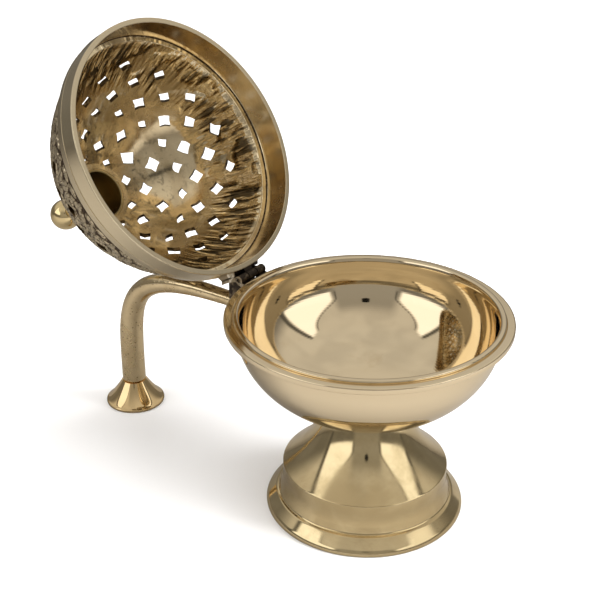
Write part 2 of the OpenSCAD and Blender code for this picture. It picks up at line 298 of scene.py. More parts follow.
def prism(name: str, shape: np.ndarray, low: float, high: float,
          bevel: float = 0.25) -> bpy.types.Object:
    """An outline in the XZ plane, made thick along Y, with bevelled edges.

    Args:
        name: The piece's name.
        shape: Its outline as x and z.
        low: Lowest y.
        high: Highest y.
        bevel: Width of the bevel.

    Returns:
        The linked object.
    """
    n = len(shape)
    points = np.concatenate([np.column_stack([shape[:, 0], np.full(n, y), shape[:, 1]])
                             for y in (low, high)])
    ring = np.arange(n)
    sides = np.column_stack([ring, np.roll(ring, -1), np.roll(ring, -1) + n, ring + n])
    faces = [ring.tolist(), (ring + n).tolist()] + sides.tolist()

    def soften(build: bmesh.types.BMesh) -> None:
        """Bevels the creases."""
        edges = [e for e in build.edges if e.calc_face_angle(0.0) > math.radians(CREASE)]
        bmesh.ops.bevel(build, geom=edges, offset=bevel * MM, segments=3, profile=0.6,
                        affect="EDGES", clamp_overlap=True)

    return link(name, new_mesh(name, points, faces, soften), CREASE)


def joined(name: str, pieces: list) -> bpy.types.Object:
    """Joins several objects' meshes into one piece and removes the originals."""
    build = bmesh.new()
    for piece in pieces:
        build.from_mesh(piece.data)
        bpy.data.objects.remove(piece)
    mesh = bpy.data.meshes.new(name)
    build.to_mesh(mesh)
    build.free()
    return link(name, mesh, CREASE)


# ---------------------------------------------------------------- finishes


Socket = bpy.types.NodeSocket


class Tree:
    """A short way to write shader nodes."""

    def __init__(self, tree: bpy.types.NodeTree) -> None:
        """Keeps the node tree that the nodes go into."""
        self.tree = tree

    def node(self, kind: str, settings: dict | None = None, **inputs) -> bpy.types.Node:
        """Adds a node.

        Args:
            kind: The node's type without its ShaderNode prefix.
            settings: Its properties.
            **inputs: Values or sockets for its inputs, by name with _ for a space, or as
                i0, i1 and so on by place.

        Returns:
            The node.
        """
        new = self.tree.nodes.new("ShaderNode" + kind)
        for key, value in (settings or {}).items():
            setattr(new, key, value)
        for key, value in inputs.items():
            by_place = key[0] == "i" and key[1:].isdigit()
            socket = new.inputs[int(key[1:])] if by_place else new.inputs[key.replace("_", " ")]
            if isinstance(value, Socket):
                self.tree.links.new(value, socket)
            else:
                socket.default_value = value
        return new

    def math(self, operation: str, *values) -> Socket:
        """A Math node's result."""
        inputs = {f"i{k}": v for k, v in enumerate(values)}
        return self.node("Math", {"operation": operation}, **inputs).outputs[0]

    def times(self, first: Socket, *others) -> Socket:
        """The product of two or more values."""
        return reduce(lambda a, b: self.math("MULTIPLY", a, b), others, first)

    def ramp(self, value: Socket, low: float, high: float,
             to_low: float = 0.0, to_high: float = 1.0) -> Socket:
        """A Map Range node's result, clamped and eased; low and high can be sockets."""
        return self.node("MapRange", {"interpolation_type": "SMOOTHSTEP"}, Value=value,
                         From_Min=low, From_Max=high, To_Min=to_low, To_Max=to_high).outputs[0]

    def blend(self, share: Socket, a, b) -> Socket:
        """A colour Mix node's result, b over a by share; a and b are sockets or colours."""
        new = self.node("Mix", {"data_type": "RGBA"})
        for place, value in ((0, share), (6, a), (7, b)):
            if isinstance(value, Socket):
                self.tree.links.new(value, new.inputs[place])
            else:
                new.inputs[place].default_value = (*value, 1.0)
        return new.outputs[2]


class Effects:
    """Shader node groups that several finishes share, each built once."""

    @staticmethod
    def _group(name: str, inputs: dict, outputs: tuple) -> tuple:
        """Starts a group.

        Args:
            name: The group's name.
            inputs: Input names and their defaults; a None default makes a vector socket.
            outputs: Names of its float outputs.

        Returns:
            The group, its Tree, and its input and output nodes.
        """
        group = bpy.data.node_groups.new(name, "ShaderNodeTree")
        for key, value in inputs.items():
            kind = "NodeSocketVector" if value is None else "NodeSocketFloat"
            socket = group.interface.new_socket(key, in_out="INPUT", socket_type=kind)
            if value is not None:
                socket.default_value = value
        for key in outputs:
            group.interface.new_socket(key, in_out="OUTPUT", socket_type="NodeSocketFloat")
        return (group, Tree(group), group.nodes.new("NodeGroupInput"),
                group.nodes.new("NodeGroupOutput"))

    @classmethod
    def turning(cls) -> bpy.types.NodeTree:
        """Fine rings left by the lathe: noise over distance from the axis and height."""
        if "lathe_rings" in bpy.data.node_groups:
            return bpy.data.node_groups["lathe_rings"]
        group, t, given, made = cls._group("lathe_rings", {"Vector": None, "Density": 1500.0},
                                           ("Height", "Bands"))
        xyz = t.node("SeparateXYZ", Vector=given.outputs["Vector"]).outputs
        r = t.math("SQRT", t.math("ADD", t.times(xyz[0], xyz[0]), t.times(xyz[1], xyz[1])))
        flat = t.node("CombineXYZ", X=r, Y=0.0, Z=xyz[2]).outputs[0]
        fine = t.node("TexNoise", Vector=flat, Scale=given.outputs["Density"], Detail=3.0)
        wide = t.node("TexNoise", Vector=flat,
                      Scale=t.times(given.outputs["Density"], 0.12), Detail=1.0)
        group.links.new(fine.outputs[0], made.inputs["Height"])
        group.links.new(wide.outputs[0], made.inputs["Bands"])
        return group

    @classmethod
    def tarnish(cls) -> bpy.types.NodeTree:
        """Soft clouds with a finer mottle, as a mask from 0 to 1."""
        if "tarnish" in bpy.data.node_groups:
            return bpy.data.node_groups["tarnish"]
        group, t, given, made = cls._group("tarnish", {"Vector": None, "Scale": 60.0,
                                                       "Cover": 0.5}, ("Mask",))
        cloud = t.node("TexNoise", Vector=given.outputs["Vector"], Scale=given.outputs["Scale"],
                       Detail=5.0, Roughness=0.62, Distortion=0.3).outputs[0]
        low = t.math("SUBTRACT", 0.75, t.times(given.outputs["Cover"], 0.5))
        group.links.new(t.ramp(cloud, low, t.math("ADD", low, 0.22)), made.inputs["Mask"])
        return group

    @classmethod
    def chatter(cls) -> bpy.types.NodeTree:
        """Short strokes along the meridians, left where the tool chattered, in broken rows."""
        if "tool_chatter" in bpy.data.node_groups:
            return bpy.data.node_groups["tool_chatter"]
        group, t, given, made = cls._group("tool_chatter", {
            "Vector": None, "Around": 20.0, "Low": 0.086, "High": 0.112}, ("Height", "Mask"))
        place, around = given.outputs["Vector"], given.outputs["Around"]
        x, y, z = t.node("SeparateXYZ", Vector=place).outputs
        r = t.math("SQRT", t.math("ADD", t.times(x, x), t.times(y, y)))
        ring = t.node("CombineXYZ", X=t.times(t.math("DIVIDE", x, r), around),
                      Y=t.times(t.math("DIVIDE", y, r), around),
                      Z=t.times(z, 100.0)).outputs[0]
        stroke = t.node("TexNoise", Vector=ring, Scale=1.0, Detail=1.5, Roughness=0.5).outputs[0]
        patch = t.node("TexNoise", Vector=place, Scale=75.0, Detail=1.0).outputs[0]
        low, high = given.outputs["Low"], given.outputs["High"]
        rows = t.times(t.ramp(z, low, t.math("ADD", low, 0.004)),
                       t.ramp(z, high, t.math("SUBTRACT", high, 0.014)))
        mask = t.times(rows, t.ramp(patch, 0.34, 0.5, 0.25, 1.0))
        group.links.new(t.times(stroke, mask), made.inputs["Height"])
        group.links.new(t.times(t.ramp(stroke, 0.52, 0.6), mask), made.inputs["Mask"])
        return group

    @classmethod
    def pits(cls) -> bpy.types.NodeTree:
        """Scattered round pits in a casting: near the middle of some Voronoi cells."""
        if "casting_pits" in bpy.data.node_groups:
            return bpy.data.node_groups["casting_pits"]
        group, t, given, made = cls._group("casting_pits", {"Vector": None, "Scale": 900.0,
                                                            "Share": 0.3}, ("Height", "Mask"))
        cell = t.node("TexVoronoi", Vector=given.outputs["Vector"], Scale=given.outputs["Scale"])
        some = t.math("LESS_THAN", t.node("SeparateColor", i0=cell.outputs["Color"]).outputs[0],
                      given.outputs["Share"])
        pit = t.times(t.ramp(cell.outputs["Distance"], 0.34, 0.12), some)
        group.links.new(pit, made.inputs["Mask"])
        group.links.new(t.math("SUBTRACT", 1.0, pit), made.inputs["Height"])
        return group


@dataclass(frozen=True)
class Finish:
    """What every brass finish has, with its colours in linear light.

    Attributes:
        name: The material's name.
        bright: Colour of clean metal.
        dull: Colour where it has tarnished.
        smooth: Roughness where it is polished.
        rough: Roughness where it is dull.
    """

    name: str
    bright: tuple = (0.84, 0.7, 0.48)
    dull: tuple = (0.5, 0.36, 0.18)
    smooth: float = 0.06
    rough: float = 0.22

    def start(self, centre: tuple = (0, 0, 0), tilt: float = 0.0) -> tuple:
        """Makes the material and its Principled BSDF.

        Args:
            centre: Point of the piece's own axis, in metres, that patterns centre on.
            tilt: Turn of that axis about Y, in radians.

        Returns:
            The material, its Tree, the Principled BSDF and the pattern's vector.
        """
        material = bpy.data.materials.new(self.name)
        material.use_nodes = True
        t = Tree(material.node_tree)
        shader = material.node_tree.nodes["Principled BSDF"]
        shader.inputs["Metallic"].default_value = 1.0
        place = t.node("TexCoord").outputs["Object"]
        if any(centre) or tilt:
            place = t.node("Mapping", {"vector_type": "TEXTURE"}, Vector=place,
                           Location=centre, Rotation=(0.0, tilt, 0.0)).outputs[0]
        return material, t, shader, place

    def grouped(self, t: Tree, group: bpy.types.NodeTree, **inputs) -> bpy.types.Node:
        """Places a shared effect in this material."""
        new = t.node("Group", {"node_tree": group}, **inputs)
        new.label = group.name
        return new

    def end(self, t: Tree, shader: bpy.types.Node, colour: Socket,
            worn: Socket, *layers: tuple) -> None:
        """Links the colour and the roughness, and stacks the bump layers.

        Args:
            t: The material's Tree.
            shader: Its Principled BSDF.
            colour: Its base colour.
            worn: 0 where the metal is smooth and 1 where it is rough.
            *layers: Pairs of a height socket and a depth in metres.
        """
        t.tree.links.new(colour, shader.inputs["Base Color"])
        t.tree.links.new(t.ramp(worn, 0.0, 1.0, self.smooth, self.rough),
                         shader.inputs["Roughness"])
        normal = None
        for height, depth in layers:
            bump = t.node("Bump", Height=height, Strength=1.0, Distance=depth)
            if normal is not None:
                t.tree.links.new(normal, bump.inputs["Normal"])
            normal = bump.outputs[0]
        t.tree.links.new(normal, shader.inputs["Normal"])


@dataclass(frozen=True)
class PolishedBrass(Finish):
    """Turned and buffed: faint lathe rings, a thin haze and a little tarnish."""

    rings: float = 1200.0
    ring_depth: float = 1.2e-6
    haze: float = 0.35
    wobble: float = 2.5e-5

    def make(self, centre: tuple = (0, 0, 0), tilt: float = 0.0) -> bpy.types.Material:
        """Builds the material, with its rings round the given axis."""
        material, t, shader, place = self.start(centre, tilt)
        lathe = self.grouped(t, Effects.turning(), Vector=place, Density=self.rings)
        cloud = self.grouped(t, Effects.tarnish(), Vector=place, Scale=45.0, Cover=self.haze)
        fine = self.grouped(t, Effects.tarnish(), Vector=place, Scale=700.0, Cover=0.25)
        dull = t.times(cloud.outputs[0], 0.35)
        colour = t.blend(dull, self.bright, self.dull)
        band = t.ramp(lathe.outputs["Bands"], 0.35, 0.65, 0.0, 0.12)
        colour = t.blend(band, colour, self.dull)
        worn = t.math("MAXIMUM", t.times(cloud.outputs[0], 0.5), t.times(fine.outputs[0], 0.4))
        soft = t.node("TexNoise", Vector=place, Scale=110.0, Detail=2.0).outputs[0]
        self.end(t, shader, colour, worn, (lathe.outputs["Height"], self.ring_depth),
                    (lathe.outputs["Bands"], self.ring_depth * 12), (soft, self.wobble))
        return material


@dataclass(frozen=True)
class ChatterBrass(PolishedBrass):
    """Roughly turned inside face: tool chatter near the edge and smoke near the crown."""

    smoke: tuple = (0.05, 0.038, 0.022)

    def make(self, centre: tuple = (0, 0, 0), tilt: float = 0.0) -> bpy.types.Material:
        """Builds the material, with its marks round the given axis."""
        material, t, shader, place = self.start(centre, tilt)
        lathe = self.grouped(t, Effects.turning(), Vector=place, Density=self.rings)
        marks = self.grouped(t, Effects.chatter(), Vector=place)
        cloud = self.grouped(t, Effects.tarnish(), Vector=place, Scale=60.0, Cover=self.haze)
        speck = self.grouped(t, Effects.tarnish(), Vector=place, Scale=420.0, Cover=0.5)
        colour = t.blend(t.times(cloud.outputs[0], 0.55), self.bright, self.dull)
        colour = t.blend(t.ramp(lathe.outputs["Bands"], 0.4, 0.6, 0.0, 0.45), colour,
                         self.dull)
        colour = t.blend(t.times(marks.outputs["Mask"], 0.85), colour, self.smoke)
        height = t.node("SeparateXYZ", Vector=place).outputs[2]
        crown = t.times(t.ramp(height, 0.105, 0.132, 0.15, 1.0), speck.outputs[0])
        colour = t.blend(t.times(crown, 0.75), colour, self.smoke)
        worn = t.math("MAXIMUM", cloud.outputs[0], marks.outputs["Mask"])
        self.end(t, shader, colour, worn, (lathe.outputs["Height"], self.ring_depth),
                    (marks.outputs["Height"], 3e-3))
        return material


@dataclass(frozen=True)
class SatinBrass(Finish):
    """Cast, filed and rubbed: soft file marks, fine pits and uneven gloss."""

    pit_scale: float = 900.0
    pit_colour: tuple = (0.12, 0.07, 0.03)

    def make(self) -> bpy.types.Material:
        """Builds the material."""
        material, t, shader, place = self.start()
        pit = self.grouped(t, Effects.pits(), Vector=place, Scale=self.pit_scale, Share=0.28)
        cloud = self.grouped(t, Effects.tarnish(), Vector=place, Scale=90.0, Cover=0.6)
        wave = t.node("TexNoise", Vector=place, Scale=160.0, Detail=3.0).outputs[0]
        colour = t.blend(t.times(cloud.outputs[0], 0.5), self.bright, self.dull)
        colour = t.blend(t.times(pit.outputs["Mask"], 0.8), colour, self.pit_colour)
        self.end(t, shader, colour, cloud.outputs[0], (wave, 2.5e-4), (pit.outputs["Height"], 6e-5))
        return material


@dataclass(frozen=True)
class EngravedBrass(Finish):
    """Rubbed pale on the raised work and dark brown in the recesses."""

    soot: tuple = (0.06, 0.035, 0.018)

    def make(self, centre: tuple, tilt: float) -> bpy.types.Material:
        """Builds the material, whose recess attribute runs from 0 on top to 1 at the bottom."""
        material, t, shader, place = self.start(centre, tilt)
        recess = t.node("Attribute", {"attribute_name": "recess"}).outputs["Fac"]
        grain = t.node("TexNoise", Vector=place, Scale=1400.0, Detail=4.0).outputs[0]
        cloud = self.grouped(t, Effects.tarnish(), Vector=place, Scale=120.0, Cover=0.5)
        edge = t.math("ADD", recess, t.times(t.math("SUBTRACT", grain, 0.5), 0.5))
        cut = t.node("TexVoronoi", {"feature": "DISTANCE_TO_EDGE"}, Vector=place,
                     Scale=480.0).outputs["Distance"]
        line = t.times(t.ramp(cut, 0.1, 0.02), 0.75)
        dark = t.math("MAXIMUM", t.ramp(edge, 0.74, 1.0), line)
        colour = t.blend(t.times(cloud.outputs[0], 0.4), self.bright, self.dull)
        colour = t.blend(dark, colour, self.soot)
        self.end(t, shader, colour, dark, (grain, 5e-5), (t.math("SUBTRACT", 1.0, line), 2e-4))
        return material


@dataclass(frozen=True)
class AgedBrass(Finish):
    """Mottled in clouds between its dull and bright colours, rougher where dull."""

    def make(self) -> bpy.types.Material:
        """Builds the material."""
        material, t, shader, place = self.start()
        cloud = self.grouped(t, Effects.tarnish(), Vector=place, Scale=380.0, Cover=0.55)
        grain = t.node("TexNoise", Vector=place, Scale=1500.0, Detail=4.0).outputs[0]
        colour = t.blend(cloud.outputs[0], self.dull, self.bright)
        worn = t.math("SUBTRACT", 1.0, cloud.outputs[0])
        self.end(t, shader, colour, worn, (grain, 8e-5))
        return material


# ---------------------------------------------------------------- the frame's own places


@dataclass(frozen=True)
class Frame:
    """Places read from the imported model, in millimetres."""

    hinge: tuple
    open_angle: float

    @classmethod
    def read(cls) -> "Frame":
        """Reads the lid's hinge from the frame's joint."""
        joint = frame["joints"][0]
        return cls(tuple(1000 * v for v in joint["pos_m"]), math.radians(joint["range_deg"][1]))

    def opened(self, surface: Surface) -> Surface:
        """Swings a surface drawn on the closed lid to the open rest pose."""
        p = surface.points - np.array(self.hinge)
        c, s = math.cos(self.open_angle), math.sin(self.open_angle)
        turned_points = np.column_stack([p[:, 0] * c - p[:, 2] * s, p[:, 1],
                                         p[:, 0] * s + p[:, 2] * c])
        return Surface(turned_points + np.array(self.hinge), surface.faces)

    def axis_point(self) -> tuple:
        """The point, in metres, that the closed origin swings to."""
        moved = self.opened(Surface(np.zeros((1, 3)), NO_FACES)).points[0]
        return tuple(moved * MM)


def box_mm(node: str) -> tuple:
    """A CAD node's lowest and highest corners in millimetres."""
    low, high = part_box(node)
    return np.array(low) * 1000, np.array(high) * 1000


def dress(piece: bpy.types.Object, material: bpy.types.Material, slot: Slot, body: Body,
          *nodes: str) -> None:
    """Gives a new piece its finish and its body, and lets it stand for CAD nodes.

    Args:
        piece: The new piece.
        material: Its finish.
        slot: The record's slot that the finish belongs to; not used.
        body: The body it rides on.
        *nodes: The CAD nodes that it stands for.
    """
    piece.data.materials.clear()
    piece.data.materials.append(material)
    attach(piece, body.value)
    if nodes:
        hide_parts(*nodes)


def repaint(node: str, material: bpy.types.Material) -> None:
    """Gives a CAD node that is kept a better material."""
    mesh_object = frame["nodes"][node]
    for slot in mesh_object.material_slots:
        slot.material = material


# ---------------------------------------------------------------- bowl and pedestal


@dataclass
class Bowl:
    """The turned bowl: neck, curved wall, flat rim and raised lip."""

    rim_w: float = 3.8
    rim_t: float = 2.4
    lip_w: float = 1.9
    lip_h: float = 1.0
    wall: float = 1.8
    neck_r: float = 14.5
    fillet: float = 1.2
    finish: PolishedBrass = PolishedBrass(
        "bowl_brass", bright=(0.83, 0.7, 0.49), haze=0.4)

    def build(self) -> bpy.types.Object:
        """Makes the bowl from one closed outline.

        Returns:
            The finished piece.
        """
        low, high = box_mm("bowl")
        rim_r, rim_z = high[0], high[2] - self.lip_h
        wall_r, wall_z = rim_r - self.rim_w, rim_z - self.rim_t
        depth = wall_z - low[2] - 1
        start = -math.degrees(math.acos((self.neck_r + self.fillet) / wall_r))
        lip_out = wall_r + 0.7
        lip_in = lip_out - self.lip_w
        shape = outline(
            corner(0, low[2]), corner(self.neck_r, low[2], 0.3),
            arc((self.neck_r + self.fillet, low[2] + 0.4), (self.fillet, 2.2), 178, 118, 8),
            arc((0, wall_z), (wall_r, depth), start, -1, 56),
            corner(wall_r, wall_z, 0.5), corner(rim_r, wall_z, 0.7), corner(rim_r, rim_z, 0.7),
            corner(lip_out + 0.25, rim_z, 0.25), corner(lip_out, rim_z - 0.3, 0.2),
            corner(lip_out, rim_z + self.lip_h, 0.7), corner(lip_in, rim_z + self.lip_h, 0.6),
            corner(wall_r - self.wall, rim_z - 0.6, 0.8),
            arc((0, wall_z), (wall_r - self.wall, depth - self.wall), -1, -90, 70))
        piece = write_mesh("bowl_polished", turned(shape, 256))
        dress(piece, self.finish.make(), Slot.POLISHED, Body.BASE, "bowl")
        return piece


@dataclass
class Pedestal:
    """The turned pedestal: cone, shoulder ridge, band and flared foot ring."""

    shoulder_r: float = 29.7
    shoulder_z: float = 17.0
    step_r: float = 31.6
    flare_h: float = 6.0
    neck_r: float = 14.5
    straight: float = 0.4
    wall: float = 2.2
    finish: PolishedBrass = PolishedBrass(
        "pedestal_brass", bright=(0.76, 0.62, 0.37), dull=(0.4, 0.28, 0.12), haze=0.7,
        smooth=0.09, rough=0.3)

    def cone(self, share: np.ndarray, neck_z: float) -> np.ndarray:
        """The cone's outside: its radius grows by a straight part and a square part.

        Args:
            share: 0 at the joint under the bowl and 1 at the shoulder ridge.
            neck_z: Height of the joint.

        Returns:
            Outline points without fillets.
        """
        spread = share * (self.straight + (1 - self.straight) * share)
        return np.column_stack([self.neck_r + (self.shoulder_r - self.neck_r) * spread,
                                neck_z - (neck_z - self.shoulder_z) * share,
                                np.zeros_like(share)])

    def build(self) -> bpy.types.Object:
        """Makes the pedestal from one closed outline.

        Returns:
            The finished piece.
        """
        low, high = box_mm("pedestal")
        foot_r, neck_z = high[0], high[2]
        ceiling = neck_z - 2 * self.wall
        inner = self.cone(np.linspace(0.25, 0.92, 12), neck_z) - [1.5 * self.wall, 0, 0]
        shape = outline(
            corner(foot_r - 3.2, 0, 0.3), corner(foot_r - 0.2, 0, 0.5), corner(foot_r, 1.1, 0.6),
            corner(foot_r - 0.5, 2.2, 0.8), corner(self.step_r + 0.6, self.flare_h - 0.3, 0.6),
            corner(self.step_r - 0.2, self.flare_h, 0.12),
            corner(self.step_r - 0.5, self.flare_h + 0.35, 0.2),
            corner(self.shoulder_r + 0.1, self.flare_h + 4.5, 4),
            corner(self.shoulder_r + 0.1, self.shoulder_z - 0.1, 0.25),
            self.cone(np.linspace(0.985, 0, 48), neck_z),
            corner(3.1, neck_z), corner(3.1, ceiling), corner(9, ceiling, 0.5), inner,
            corner(self.shoulder_r - self.wall - 0.5, self.shoulder_z - 1, 2),
            corner(self.step_r - self.wall, self.flare_h, 1))
        piece = write_mesh("pedestal_polished", turned(shape, 256))
        dress(piece, self.finish.make(), Slot.POLISHED, Body.BASE, "pedestal")
        return piece


# ---------------------------------------------------------------- handle


@dataclass
class Handle:
    """The tapered bar and its flared foot."""

    start_x: float = -43.0
    start_z: float = 63.4
    root_d: float = 5.2
    leg_d: float = 9.6
    power: float = 4.5
    inset: float = 8.0
    wall_r: float = 46.2
    satin: SatinBrass = SatinBrass(
        "handle_brass", bright=(0.88, 0.71, 0.44), dull=(0.56, 0.41, 0.21), smooth=0.16,
        rough=0.34)
    polished: PolishedBrass = PolishedBrass(
        "foot_brass", bright=(0.82, 0.62, 0.34))

    def build(self) -> list:
        """Makes the bar and the foot.

        The bar's line is a quarter of a superellipse, u^p + w^p = 1, from the bowl to the
        foot. Its radius eases from the root's to the leg's.

        Returns:
            The two pieces.
        """
        low, high = box_mm("handle_ferrule")
        leg_x, foot_h = (low[0] + high[0]) / 2, high[2]
        half_x = -leg_x - self.wall_r + self.inset
        half_z = self.start_z - foot_h
        mid = 0.5 ** (1 / self.power)
        s = np.linspace(0.05, 1, 260)
        level, rise = np.minimum(s * 2, 1) * mid, np.minimum((1 - s) * 2, 1) * mid
        u = np.where(s < 0.5, level, (1 - rise ** self.power) ** (1 / self.power))
        w = np.where(s < 0.5, (1 - level ** self.power) ** (1 / self.power), rise)
        line = np.column_stack([leg_x + half_x * (1 - u), foot_h + half_z * w])
        ease = np.clip(s / 0.8, 0, 1)
        radius = self.root_d / 2 + (self.leg_d - self.root_d) / 2 * ease ** 2 * (3 - 2 * ease)
        to_bowl = np.abs(line[:, 0]) - 43.6
        radius = radius + 0.7 * np.exp(-np.clip(to_bowl, 0, None) / 0.7)
        radius = radius - 0.7 * np.exp(-((line[:, 1] - foot_h) / 0.35) ** 2)
        bar = write_mesh("handle_bar", swept(line, radius))
        dress(bar, self.satin.make(), Slot.SATIN, Body.BASE, "handle")
        foot_r, top_r = (high[0] - low[0]) / 2, self.leg_d / 2 + 0.2
        t = np.linspace(0, 1, 22)
        flare = np.column_stack([foot_r - 0.2 - (foot_r - 0.2 - top_r) * t ** 0.8,
                                 1.2 + (foot_h - 1.2) * t, np.zeros_like(t)])
        shape = outline(
            corner(0.6 * foot_r, 0, 0.2), corner(foot_r, 0, 0.5), corner(foot_r, 1.0, 0.4),
            flare, corner(3.2, foot_h), corner(3.2, foot_h - 6.1), corner(0, foot_h - 6.1),
            corner(0, 1.0), corner(0.6 * foot_r, 1.0, 0.2))
        foot = write_mesh("handle_foot", turned(shape, 128).moved(x=leg_x))
        dress(foot, self.polished.make((leg_x * MM, 0, 0)), Slot.POLISHED, Body.BASE,
              "handle_ferrule")
        return [bar, foot]


# ---------------------------------------------------------------- hinge


@dataclass
class Hinge:
    """Bracket, strap and rolled knuckles."""

    place: Frame
    width: float = 14.0
    knuckle_r: float = 1.7
    bore_r: float = 0.85
    gap: float = 0.3
    strap_t: float = 1.4
    strap_h: float = 9.0
    rim_flat: float = 49.4
    lid_flat: float = 48.8
    sheet: float = 1.15
    # The body finish is nearly black, which is painted shade; the end faces get a pale finish,
    # which is rubbed wear with a painted highlight.
    finish: AgedBrass = AgedBrass(
        "hinge_brass_painted_shade", bright=(0.22, 0.17, 0.11), dull=(0.04, 0.03, 0.022), smooth=0.25,
        rough=0.4)
    edge_wear_and_highlight_finish: AgedBrass = AgedBrass(
        "hinge_edges_wear_and_highlight", bright=(0.85, 0.78, 0.64), dull=(0.3, 0.24, 0.16), smooth=0.25, rough=0.4)
    pin_finish: AgedBrass = AgedBrass(
        "pin_brass", bright=(0.3, 0.22, 0.13), dull=(0.05, 0.035, 0.02), smooth=0.35, rough=0.5)

    def knuckle(self, low: float, high: float) -> bpy.types.Object:
        """One knuckle: a short tube along Y with rounded ends."""
        ring = outline(corner(self.bore_r, low, 0.1), corner(self.knuckle_r, low, 0.35),
                       corner(self.knuckle_r, high, 0.35), corner(self.bore_r, high, 0.1))
        tube = turned(ring, 48)
        x, y, z = tube.points.T
        points = np.column_stack([x + self.place.hinge[0], z, y + self.place.hinge[2]])
        return write_mesh("roll", Surface(points, tube.faces))

    def build(self) -> list:
        """Makes the bracket on the rim and handle, and the strap on the lid.

        Returns:
            The two pieces.
        """
        hx, _, hz = self.place.hinge
        angle = self.place.open_angle
        slope = np.array([-math.sin(angle), math.cos(angle)])
        off = -hx - self.lid_flat - self.strap_t
        face = np.array([hx, hz]) + off * np.array([math.cos(angle), math.sin(angle)])
        ledge_in, ledge_out = face + 3.2 * slope, face + (self.strap_h - 1) * slope
        knuckle_w = (self.width - 2 * self.gap) / 3
        inner, outer = knuckle_w / 2 + self.gap, self.width / 2
        floor_z = hz - self.knuckle_r - 0.8
        saddle_z = box_mm("hinge_bracket")[0][2]
        leaf = np.array([[hx - 0.9, hz + 0.5], ledge_in, ledge_out, ledge_out - [0, self.sheet],
                         ledge_in - [-0.4, self.sheet], [hx - 1.2, hz - 0.7]])
        tail = np.array([[-self.rim_flat, hz - 0.9], [-self.rim_flat, hz - 0.9 - self.sheet],
                         [hx, hz - self.knuckle_r + 0.05], [hx + 1.0, hz - 0.9]])
        web = np.array([[-self.rim_flat, saddle_z], [-self.rim_flat, floor_z],
                        [hx - self.knuckle_r, floor_z], ledge_out - [0, 1],
                        [ledge_out[0], saddle_z]])
        bracket = [prism("web", web, -3, 3)]
        for side in (-1, 1):
            low, high = sorted((side * inner, side * outer))
            bracket += [prism("leaf", leaf, low, high), prism("tail", tail, low, high),
                        self.knuckle(low, high)]
        bracket_piece = joined("hinge_bracket_arms", bracket)
        # The dark body finish is painted shade; the pale one on the end faces is rubbed wear with a
        # painted highlight.
        material = self.finish.make()
        worn = self.edge_wear_and_highlight_finish.make()
        dress(bracket_piece, material, Slot.AGED, Body.BASE, "hinge_bracket")
        self._edge_wear_and_highlight(bracket_piece, worn)
        lid_z = hz - 0.3
        neck = np.array([[hx, hz], [hx - self.knuckle_r, hz],
                         [-self.lid_flat - self.strap_t, lid_z + 3.4],
                         [-self.lid_flat, lid_z + 3.4],
                         [-self.lid_flat, lid_z + 0.2], [hx + self.knuckle_r, lid_z + 0.2]])
        plate = np.array([[-self.lid_flat, lid_z + 0.6],
                          [-self.lid_flat - self.strap_t, lid_z + 1.4],
                          [-self.lid_flat - self.strap_t, lid_z + self.strap_h - 0.8],
                          [-self.lid_flat, lid_z + self.strap_h]])
        half = knuckle_w / 2
        strap_piece = joined("hinge_strap_leaf", [
            prism("plate", plate, -self.width / 2, self.width / 2),
            prism("neck", neck, -half, half), self.knuckle(-half, half)])
        self._swing(strap_piece)
        dress(strap_piece, material, Slot.AGED, Body.LID, "hinge_strap")
        self._edge_wear_and_highlight(strap_piece, worn)
        repaint("hinge_pin", self.pin_finish.make())
        return [bracket_piece, strap_piece]

    @staticmethod
    def _edge_wear_and_highlight(piece: bpy.types.Object, material: bpy.types.Material) -> None:
        """Gives the faces that look along the pin a pale finish: rubbed edge wear with a painted
        highlight.
        """
        mesh = piece.data
        mesh.materials.append(material)
        ends = ((np.abs(rows_of(mesh.polygons, "normal")[:, 1]) > 0.6)
                & (np.abs(rows_of(mesh.polygons, "center")[:, 1]) > 3.1 * MM))
        mesh.polygons.foreach_set("material_index", ends.astype(np.int32))

    def _swing(self, piece: bpy.types.Object) -> None:
        """Swings a piece drawn closed to the open pose, in its mesh."""
        points = rows_of(piece.data.vertices, "co") / MM
        moved = self.place.opened(Surface(points, NO_FACES))
        piece.data.vertices.foreach_set("co", (moved.points * MM).ravel())
        piece.data.update()


# ---------------------------------------------------------------- lid


@dataclass
class DomeShape:
    """The dome's outline above its edge: an arc that turns into a cone."""

    edge_r: float = 49.4
    ogive_r: float = 67.6
    centre_h: float = -4.8
    cone_h: float = 44.0
    seat_r: float = 13.6

    def __post_init__(self) -> None:
        """Works out the arc's centre and the cone."""
        self.centre_r = self.edge_r - self.ogive_r - 0.5
        self.cone_a = math.asin((self.cone_h - self.centre_h) / self.ogive_r)
        self.cone_r = self.centre_r + self.ogive_r * math.cos(self.cone_a)
        self.seat_h = self.cone_h + (self.cone_r - self.seat_r) / math.tan(self.cone_a)

    def radius(self, h: np.ndarray, thick: float = 0.0) -> np.ndarray:
        """Radius of the wall at height h, thick inside its outer face."""
        h = np.asarray(h, float)
        inside = np.clip((self.ogive_r - thick) ** 2 - (h - self.centre_h) ** 2, 0, None)
        cone = (self.cone_r - thick / math.cos(self.cone_a)
                - (h - self.cone_h) * math.tan(self.cone_a))
        return np.where(h < self.cone_h, self.centre_r + np.sqrt(inside), cone)

    def tilt(self, h: np.ndarray) -> np.ndarray:
        """Angle of the outward normal above the horizontal at height h."""
        return np.arcsin((np.minimum(h, self.cone_h) - self.centre_h) / self.ogive_r)


@dataclass(frozen=True)
class PierceRing:
    """One ring of piercings.

    Attributes:
        h: Height of their centres above the lid's edge.
        count: How many there are.
        turn: Turn of the ring in pitches.
        size: Diagonal.
        upper: Length of the upper corner against the lower one.
    """

    h: float
    count: int
    turn: float
    size: float
    upper: float


